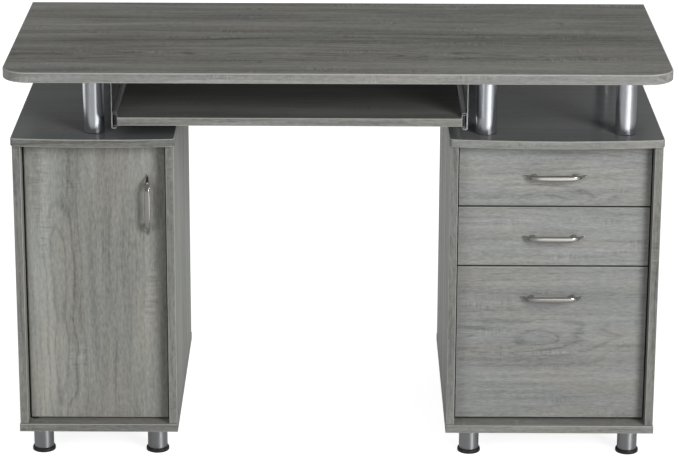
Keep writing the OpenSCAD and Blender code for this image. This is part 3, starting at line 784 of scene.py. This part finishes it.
def add_slide_fittings(name, rails, channel, inward, wall_x, carrier_x, low, high):
    """Black roller and screws on the channel, and black buffers in the rail's two ends."""
    room, set_back, head_r, head_h = 0.0004, 0.024, 0.0034, 0.0009
    middle_z = (low.z + high.z) / 2
    radius = (high.z - low.z) / 2 - SHEET - room
    axis = "X" if inward > 0 else "-X"
    floor_x = wall_x + inward * SHEET
    width = abs(carrier_x - wall_x) - 3.5 * SHEET
    centre = Vector((floor_x, low.y + set_back, middle_z))
    roller = lathe(roller_profile(radius, width), centre, 40, axis)
    add_piece("slide_roller_" + name, roller, [BLACK], "black_plastic", channel)
    for k, share in enumerate((0.22, 0.5, 0.86)):
        spot = Vector((floor_x, low.y + share * (high.y - low.y), middle_z))
        head = screw_head(spot, head_r, head_h, axis)
        add_piece(f"slide_screw_{name}_{k + 1}", head, [STEEL], "steel_hardware", channel)
    length, gap, rim = 0.008, 0.0004, 0.0008
    near, far = carrier_x - inward * SHEET, wall_x + inward * 3 * SHEET
    for end, start in (("front", low.y + gap), ("rear", high.y - gap - length)):
        corner = Vector((min(near, far), start, low.z + SHEET))
        other = Vector((max(near, far), start + length, high.z - SHEET))
        bm = block(corner, other, rim)
        add_piece(f"slide_buffer_{name}_{end}", bm, [BLACK], "black_plastic", rails)


def add_slides():
    """Slides of the tray and of the three drawers."""
    tray_low, tray_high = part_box("keyboard_tray")
    low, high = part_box("tray_rails")
    left_wall, right_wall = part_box("left_tray_channel")[0].x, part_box("right_tray_channel")[1].x
    add_slide("tray_left", "tray_rails", "left_tray_channel", left_wall, tray_low.x, low, high)
    add_slide("tray_right", "tray_rails", "right_tray_channel", right_wall, tray_high.x, low, high)
    left_wall, right_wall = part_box("unit_slide_channels")[0].x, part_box("unit_slide_channels")[1].x
    for drawer in DRAWERS:
        rails = drawer + "_slide_rails"
        low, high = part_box(rails)
        left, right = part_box(drawer + "_left_side")[0].x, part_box(drawer + "_right_side")[1].x
        add_slide(drawer + "_left", rails, "unit_slide_channels", left_wall, left, low, high)
        add_slide(drawer + "_right", rails, "unit_slide_channels", right_wall, right, low, high)


# ---------------------------------------------------------------- small hardware


def add_cam_locks():
    """Cam locks in the side boards' inner faces."""
    low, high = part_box("cam_locks")
    radius, height, crown = 0.0075, 0.0007, 0.15
    ys = (low.y + radius, high.y - radius)
    zs = (low.z + radius, high.z - radius)
    left, right = ("X", 1), ("-X", 0)
    sides = (
        ("cabinet_left_side", left), ("cabinet_right_side", right),
        ("unit_left_side", left), ("unit_right_side", right),
    )
    for side, (axis, inner) in sides:
        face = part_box(side)[inner].x
        spots = [(y, z) for y in ys for z in zs]
        for i, (y, z) in enumerate(spots):
            head = screw_head(Vector((face, y, z)), radius, height, axis, "cross", crown)
            add_piece(f"cam_lock_{side}_{i + 1}", head, [ZINC], "zinc_sheet", "cam_locks")


def add_shelf_pins():
    """Collared pins under the cabinet's shelf."""
    low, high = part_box("shelf_pins")
    radius, length, sunk, collar, collar_t, cut = 0.0025, 0.017, 0.008, 0.004, 0.0008, 0.0005
    pin = [(0, 0), (radius, 0), (radius, sunk), (collar, sunk)]
    pin += [(collar, sunk + collar_t), (radius, sunk + collar_t)]
    pin += [(radius, length - cut), (radius - cut, length), (0, length)]
    for i, (x, axis) in enumerate(((low.x, "X"), (high.x, "-X"))):
        for k, y in enumerate((low.y + radius, high.y - radius)):
            bm = lathe(pin, Vector((x, y, (low.z + high.z) / 2)), 32, axis)
            add_piece(f"shelf_pin_{i + 1}_{k + 1}", bm, [STEEL], "steel_hardware", "shelf_pins")


def add_door_pivots():
    """Steel pins at the door's hinge edge, turning in flanged bushes."""
    low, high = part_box("door_pivot_pins")
    door_low, door_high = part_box("door")
    radius, grip, play, cut = 0.0025, 0.012, 0.00006, 0.0006
    centre = Vector(((low.x + high.x) / 2, (low.y + high.y) / 2, 0))
    for name, start, end in (("lower", low.z, door_low.z + grip), ("upper", door_high.z - grip, high.z)):
        pin = [(0, start), (radius - cut, start), (radius, start + cut), (radius, end - cut)]
        pin += [(radius - cut, end), (0, end)]
        add_piece(f"door_pin_{name}", lathe(pin, centre, 32), [STEEL], "steel_hardware", "door_pivot_pins")
    add_door_bushes(centre, radius + play)


def add_door_bushes(centre, bore):
    """Flanged bushes of the door's pins, sunk into the base and cap boards."""
    shell, flange, flange_t, depth, floor_t, cut = 0.004, 0.007, 0.002, 0.01, 0.0005, 0.0005
    profile = [(bore, flange_t), (flange - cut, flange_t), (flange, flange_t - cut), (flange, 0)]
    profile += [(shell, 0), (shell, -depth), (0, -depth), (0, floor_t - depth), (bore, floor_t - depth)]
    low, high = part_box("door_pivot_bushes")
    for name, z, axis in (("lower", low.z + depth, "Z"), ("upper", high.z - depth, "-Z")):
        bush = lathe(profile, Vector((centre.x, centre.y, z)), 40, axis)
        add_piece(f"door_bush_{name}", bush, [BLACK], "black_plastic", "door_pivot_bushes")


def add_catch():
    """Magnetic catch with two pole strips, and its strike plate with a screw."""
    low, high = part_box("door_catch")
    body = block(low, high, 0.0012, 3)
    add_piece("visible_door_catch", body, [BLACK], "black_plastic", "door_catch")
    inset, proud, deep, thick, above = 0.006, 0.0002, 0.004, 0.002, 0.0035
    for i, z in enumerate((low.z + above, high.z - above - thick)):
        corner = Vector((low.x + inset, low.y - proud, z))
        other = Vector((high.x - inset, low.y + deep, z + thick))
        pole = block(corner, other, 0.0001)
        add_piece(f"catch_pole_{i + 1}", pole, [STEEL], "steel_hardware", "door_catch")
    low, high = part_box("door_strike_plate")
    plate = block(low, high, 0.0003)
    add_piece("visible_strike_plate", plate, [STEEL], "steel_hardware", "door_strike_plate")
    head_r, head_h, up = 0.0026, 0.0004, 0.0029
    head = screw_head(Vector(((low.x + high.x) / 2, high.y, low.z + up)), head_r, head_h, "Y")
    add_piece("strike_screw", head, [ZINC], "zinc_sheet", "door_strike_plate")


def add_file_rails():
    """Strips on top of the lower drawer's sides, for hanging files."""
    low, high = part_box("file_rails")
    strip, rim = 0.002, 0.0006
    for name, x in (("left", low.x), ("right", high.x - strip)):
        bm = block(Vector((x, low.y, low.z)), Vector((x + strip, high.y, high.z)), rim, 3)
        add_piece("file_rail_" + name, bm, [STEEL], "steel_hardware", "file_rails")


# ---------------------------------------------------------------- stage


def add_floor():
    """Plain pale floor that reaches the horizon."""
    reach = 30
    bm = bmesh.new()
    corners = rectangle((-reach, -reach, 0), (reach, reach, 0), "Z")
    bm.faces.new([bm.verts.new((x, y, 0)) for x, y in corners])
    mesh = bpy.data.meshes.new("Floor")
    bm.to_mesh(mesh)
    bm.free()
    floor = bpy.data.objects.new("Floor", mesh)
    bpy.context.scene.collection.objects.link(floor)
    mesh.materials.append(floor_material())


def floor_material():
    """Matt floor that glows as a lit studio sweep does. The camera sees one even glow, and metal
    mirrors a bright pool at the front right and a brighter back on the left."""
    seen, pool_glow, back_glow, pool_centre = 0.86, 1.15, 0.75, (0.95, -2.0, 0)
    shader = Shader("Floor", Roughness=0.9, Emission_Color=(1, 1, 1, 1))
    mottle = shader.centred(shader.noise((3, 3, 3)), 0.02)
    shader.colour((0.4, 0.4, 0.4), shader.math("ADD", mottle, 1.0))
    split = shader.node("SeparateXYZ", {0: shader.place}).outputs
    left = shader.between(split[0], 0.8, 0.3)
    behind = shader.between(split[1], -0.4, 0.7)
    measure = shader.node("VectorMath", {0: shader.place, 1: pool_centre}, operation="DISTANCE")
    pool = shader.between(measure.outputs["Value"], 1.0, 0.55)
    back = shader.times(behind, shader.times(left, back_glow))
    mirrored = shader.math("ADD", back, shader.times(pool, pool_glow))
    rays = shader.node("LightPath", {}).outputs
    glow = shader.math(
        "ADD", shader.times(rays["Is Camera Ray"], seen), shader.times(rays["Is Glossy Ray"], mirrored)
    )
    shader.tree.links.new(glow, shader.surface.inputs["Emission Strength"])
    return shader.material


def add_sky():
    """Even, dim studio surroundings."""
    world = bpy.data.worlds.new("Studio")
    bpy.context.scene.world = world
    world.use_nodes = True
    background = world.node_tree.nodes["Background"]
    background.inputs["Color"].default_value = (1, 1, 1, 1)
    background.inputs["Strength"].default_value = 0.24


def add_light(name, place, size, power, diffuse, mirrored):
    """Rectangular soft box at a place, facing the desk's middle; power is in watts.
    Matt surfaces are lit by it where diffuse is true, and glossy ones mirror it where mirrored is."""
    aim = Vector((0, 0, 0.4))
    data = bpy.data.lights.new(name, "AREA")
    data.shape = "RECTANGLE"
    data.size, data.size_y = size
    data.energy = power
    light = bpy.data.objects.new(name, data)
    bpy.context.scene.collection.objects.link(light)
    light.location = place
    light.rotation_euler = (aim - Vector(place)).to_track_quat("-Z", "Y").to_euler()
    light.visible_camera = False
    light.visible_diffuse = diffuse
    light.visible_glossy = mirrored


def add_camera():
    """Camera in front of the desk, looking down on it."""
    place = (-0.0004, -5.0932, 1.9930)
    pitch, yaw, roll = (math.radians(a) for a in (17.58, 0.05, 0.23))
    data = bpy.data.cameras.new("Camera")
    data.sensor_width = 36
    data.lens = 148.5
    camera = bpy.data.objects.new("Camera", data)
    bpy.context.scene.collection.objects.link(camera)
    tilt = Matrix.Rotation(math.pi / 2 - pitch, 4, "X")
    turn = Matrix.Rotation(-yaw, 4, "Z") @ tilt @ Matrix.Rotation(roll, 4, "Z")
    camera.matrix_world = Matrix.Translation(place) @ turn
    bpy.context.scene.camera = camera


# ---------------------------------------------------------------- assembly

add_desktop()
add_cap("cabinet_cap", 3.2)
add_cap("unit_cap", 6.4)
add_pedestals()
add_door()
# Drawer fronts are toned 1.2 times the laminate, 0.05 less on each drawer down: painted light, brightest
# at the top. The bluer shift is their own cooler tone.
for index, drawer_name in enumerate(DRAWERS):
    shade = 1.2 - 0.05 * index
    add_drawer(drawer_name, 60.5 + 7 * index, DRAWER_HEARTS[index], (shade, 1.01 * shade, 1.04 * shade))
# The tray's faces are toned 0.62 times the laminate: painted shade under the desk top.
tray_laminate = laminate_set("Tray laminate", "X", 37.9, (0.62, 0.62, 0.62))
add_board("keyboard_tray", tray_laminate, "laminate", BASE_RIM)
add_posts()
add_post_bolts()
add_feet()
for drawer_name in DRAWERS:
    add_handle(drawer_name + "_handle", "X")
add_handle("door_handle", "Z")
add_brackets()
add_slides()
add_cam_locks()
add_shelf_pins()
add_door_pivots()
add_catch()
add_file_rails()

add_floor()
add_sky()
add_light("Key", (2.6, -3.6, 2.1), (1.6, 2.2), 250, diffuse=True, mirrored=False)
add_light("Fill", (-2.4, -3.4, 1.6), (1.6, 2.2), 68, diffuse=True, mirrored=False)
add_light("Overhead", (0.2, -0.4, 3.2), (2.4, 2.0), 15, diffuse=True, mirrored=True)
add_light("Back", (-1.2, 4.2, 1.8), (2.4, 1.6), 60, diffuse=True, mirrored=False)
add_light("Strip", (2.6, -3.6, 0.6), (0.7, 0.3), 54, diffuse=False, mirrored=True)
add_camera()
bpy.context.scene.view_settings.view_transform = "Standard"
